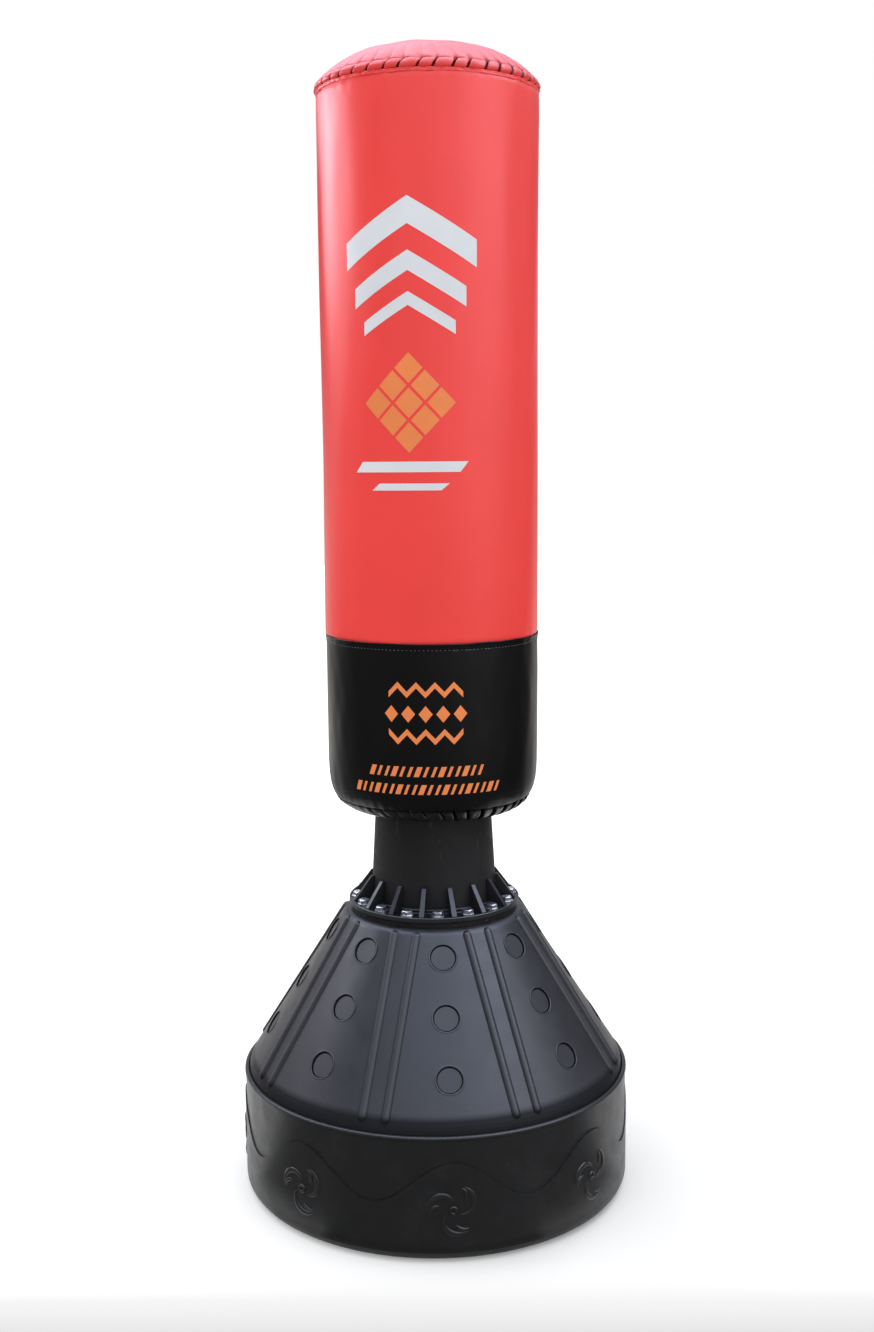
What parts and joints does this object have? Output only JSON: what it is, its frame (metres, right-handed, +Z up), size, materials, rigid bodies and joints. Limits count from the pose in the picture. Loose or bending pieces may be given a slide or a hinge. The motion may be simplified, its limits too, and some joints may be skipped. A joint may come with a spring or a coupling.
{
  "type": "punching bag on stand",
  "caption": "Free-standing punching bag: long padded cylindrical bag with a domed top on a flexible neck, bolted to a ribbed cone-covered ballast tank.",
  "frame": {"origin": "centre of the footprint on the floor, on the axis of the bag", "axes": "+Z up along the axis of the bag, -Y towards the front panel of the base, +Y towards the filler cap, +X to the right seen from the front"},
  "size_m": [0.612, 0.612, 1.748],
  "materials": {
    "tank_plastic": "satin moulded",
    "cover_plastic": "satin moulded",
    "port_plastic": "moulded",
    "flange_plastic": "satin moulded",
    "seal_rubber": "matt",
    "cup_rubber": "satin",
    "sand": "loose dry sand",
    "bolt_steel": "bright zinc",
    "washer_steel": "bright zinc",
    "insert_brass": "plain",
    "neck_rubber": "matt",
    "core_plastic": "plain",
    "core_screw_steel": "plain",
    "foam": "closed-cell foam",
    "red_leather": "soft gloss synthetic leather",
    "black_leather": "soft gloss synthetic leather",
    "drawcord": "braided"
  },
  "bodies": {
    "base": {"base_drum": "tank_plastic", "tank_seal": "seal_rubber", "ballast": "sand", "suction_cups": "cup_rubber", "base_cone": "cover_plastic", "filler_neck": "port_plastic", "neck_flange": "flange_plastic", "flange_washers": "washer_steel", "flange_bolts": "bolt_steel", "threaded_inserts": "insert_brass"},
    "neck": {"neck_column": "neck_rubber"},
    "bag": {"core_tube": "core_plastic", "core_screws": "core_screw_steel", "core_cap": "core_plastic", "inner_foam": "foam", "outer_foam": "foam", "top_foam": "foam", "cover_sleeve": "red_leather", "cover_dome": "red_leather", "top_roll": "red_leather", "skirt": "black_leather", "skirt_binding": "black_leather", "skirt_hem": "black_leather", "hem_drawcord": "drawcord", "sleeve_back_seam": "red_leather", "skirt_back_seam": "black_leather"},
    "cap_lift": {"cap_gasket": "seal_rubber"},
    "cap": {"filler_cap": "port_plastic"}
  },
  "joints": [
    {"name": "sway_front_back", "type": "hinge", "parent": "base", "child": "neck", "pos_m": [0, 0, 0.524], "axis": [1, 0, 0], "range_deg": [-15, 15], "stiffness_Nm_per_rad": 480, "deforming": ["neck_column"]},
    {"name": "sway_side", "type": "hinge", "parent": "neck", "child": "bag", "pos_m": [0, 0, 0.576], "axis": [0, 1, 0], "range_deg": [-15, 15], "stiffness_Nm_per_rad": 480, "deforming": ["neck_column"]},
    {"name": "cap_lift", "type": "slide", "parent": "base", "child": "cap_lift", "axis": [0, 0.8405, 0.5418], "range_m": [0, 0.012]},
    {"name": "cap_turn", "type": "hinge", "parent": "cap_lift", "child": "cap", "pos_m": [0, 0.21105, 0.331], "axis": [0, 0.8405, 0.5418], "range_deg": [0, 720]}
  ],
  "couplings": [
    {"joint": "cap_turn", "follows": "cap_lift", "rad_per_m": 1047.2}
  ]
}
